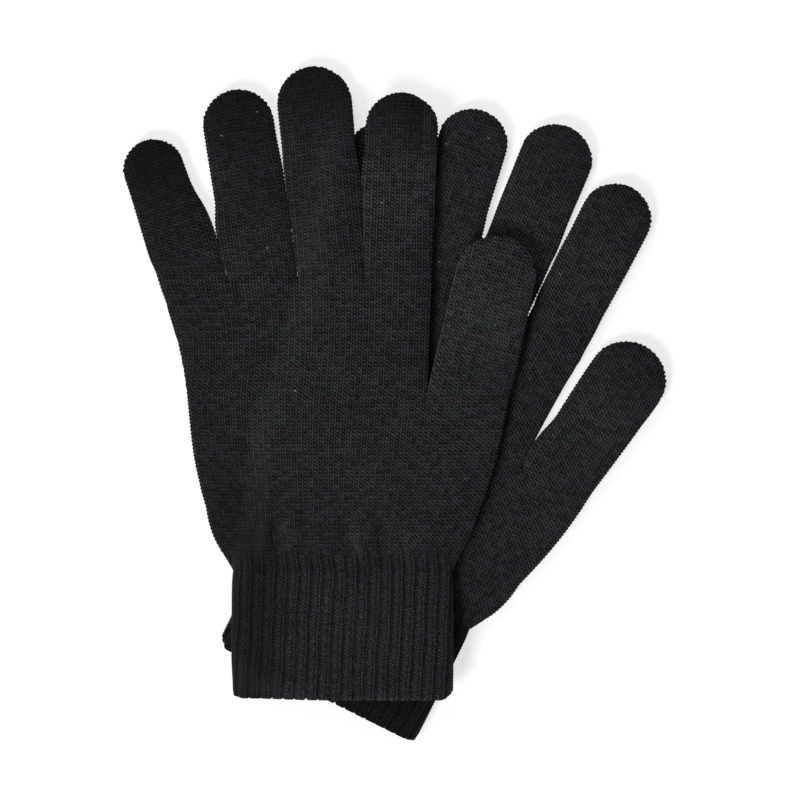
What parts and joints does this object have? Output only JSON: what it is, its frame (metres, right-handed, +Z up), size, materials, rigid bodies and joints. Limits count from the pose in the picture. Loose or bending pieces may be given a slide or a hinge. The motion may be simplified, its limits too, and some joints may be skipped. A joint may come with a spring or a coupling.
{
  "type": "touchscreen gloves",
  "caption": "Pair of knitted touchscreen gloves lying one across the other, with ribbed elastic cuffs and folding fingers and thumbs.",
  "frame": {"origin": "middle of the ground that the pair covers as it lies flat, at the height of that ground", "axes": "+Z up from the ground, +Y along the upper glove from its hem to its middle fingertip, +X towards the thumbs"},
  "size_m": [0.2051, 0.2557, 0.0194],
  "materials": {
    "plain_knit": "matt stockinette knit with a faint sheen",
    "rib_knit": "matt rib knit",
    "conductive_knit": "matt stockinette knit with conductive yarn",
    "elastic_thread": "covered elastic thread",
    "closing_thread": "twisted yarn"
  },
  "bodies": {
    "lower_hand": {"lower_palm": "plain_knit", "lower_crotch_stitches": "closing_thread"},
    "lower_cuff": {"lower_cuff": "rib_knit", "lower_cuff_welt": "rib_knit", "lower_cuff_elastic": "elastic_thread"},
    "lower_thumb": {"lower_thumb": "plain_knit", "lower_thumb_tip": "conductive_knit"},
    "lower_index": {"lower_index_finger": "plain_knit", "lower_index_tip": "conductive_knit"},
    "lower_middle": {"lower_middle_finger": "plain_knit", "lower_middle_tip": "conductive_knit"},
    "lower_ring": {"lower_ring_finger": "plain_knit"},
    "lower_little": {"lower_little_finger": "plain_knit"},
    "upper_hand": {"upper_palm": "plain_knit", "upper_crotch_stitches": "closing_thread"},
    "upper_cuff": {"upper_cuff": "rib_knit", "upper_cuff_welt": "rib_knit", "upper_cuff_elastic": "elastic_thread"},
    "upper_thumb": {"upper_thumb": "plain_knit", "upper_thumb_tip": "conductive_knit"},
    "upper_index": {"upper_index_finger": "plain_knit", "upper_index_tip": "conductive_knit"},
    "upper_middle": {"upper_middle_finger": "plain_knit", "upper_middle_tip": "conductive_knit"},
    "upper_ring": {"upper_ring_finger": "plain_knit"},
    "upper_little": {"upper_little_finger": "plain_knit"}
  },
  "joints": [
    {"name": "lift", "type": "slide", "parent": "lower_hand", "child": "upper_hand", "axis": [0, 0, 1], "range_m": [0, 0.2]},
    {"name": "lower_little_fold", "type": "hinge", "parent": "lower_hand", "child": "lower_little", "pos_m": [-0.01118, 0.05663, 0.0079], "axis": [0.8949, -0.4462, 0], "range_deg": [0, 120]},
    {"name": "lower_ring_fold", "type": "hinge", "parent": "lower_hand", "child": "lower_ring", "pos_m": [0.01289, 0.04462, 0.0079], "axis": [0.8949, -0.4462, 0], "range_deg": [0, 120]},
    {"name": "lower_middle_fold", "type": "hinge", "parent": "lower_hand", "child": "lower_middle", "pos_m": [0.03638, 0.03291, 0.0079], "axis": [0.8949, -0.4462, 0], "range_deg": [0, 120]},
    {"name": "lower_index_fold", "type": "hinge", "parent": "lower_hand", "child": "lower_index", "pos_m": [0.0592, 0.02153, 0.0079], "axis": [0.8949, -0.4462, 0], "range_deg": [0, 85]},
    {"name": "lower_thumb_fold", "type": "hinge", "parent": "lower_hand", "child": "lower_thumb", "pos_m": [0.06133, -0.0299, 0.00794], "axis": [0.8949, -0.4462, 0], "range_deg": [0, 150]},
    {"name": "lower_cuff_fold", "type": "hinge", "parent": "lower_hand", "child": "lower_cuff", "pos_m": [-0.00861, -0.0673, 0.0095], "axis": [-0.8949, 0.4462, 0], "range_deg": [0, 120]},
    {"name": "upper_little_fold", "type": "hinge", "parent": "upper_hand", "child": "upper_little", "pos_m": [-0.0774, 0.0488, 0.0079], "axis": [1, 0, 0], "range_deg": [0, 150]},
    {"name": "upper_ring_fold", "type": "hinge", "parent": "upper_hand", "child": "upper_ring", "pos_m": [-0.0505, 0.0488, 0.0079], "axis": [1, 0, 0], "range_deg": [0, 150]},
    {"name": "upper_middle_fold", "type": "hinge", "parent": "upper_hand", "child": "upper_middle", "pos_m": [-0.02425, 0.0488, 0.0165], "axis": [1, 0, 0], "range_deg": [0, 150]},
    {"name": "upper_index_fold", "type": "hinge", "parent": "upper_hand", "child": "upper_index", "pos_m": [0.00125, 0.0488, 0.0165], "axis": [1, 0, 0], "range_deg": [0, 150]},
    {"name": "upper_thumb_fold", "type": "hinge", "parent": "upper_hand", "child": "upper_thumb", "pos_m": [0.0278, 0.0028, 0.01654], "axis": [1, 0, 0], "range_deg": [0, 150]},
    {"name": "upper_cuff_fold", "type": "hinge", "parent": "upper_hand", "child": "upper_cuff", "pos_m": [-0.0198, -0.0632, 0.0197], "axis": [-1, 0, 0], "range_deg": [0, 150]}
  ],
  "couplings": [
    {"joint": "lower_little_fold", "follows": "lift", "rad_per_m": 10.4},
    {"joint": "lower_ring_fold", "follows": "lift", "rad_per_m": 10.4},
    {"joint": "lower_middle_fold", "follows": "lift", "rad_per_m": 10.4},
    {"joint": "lower_cuff_fold", "follows": "lift", "rad_per_m": 10.4}
  ]
}
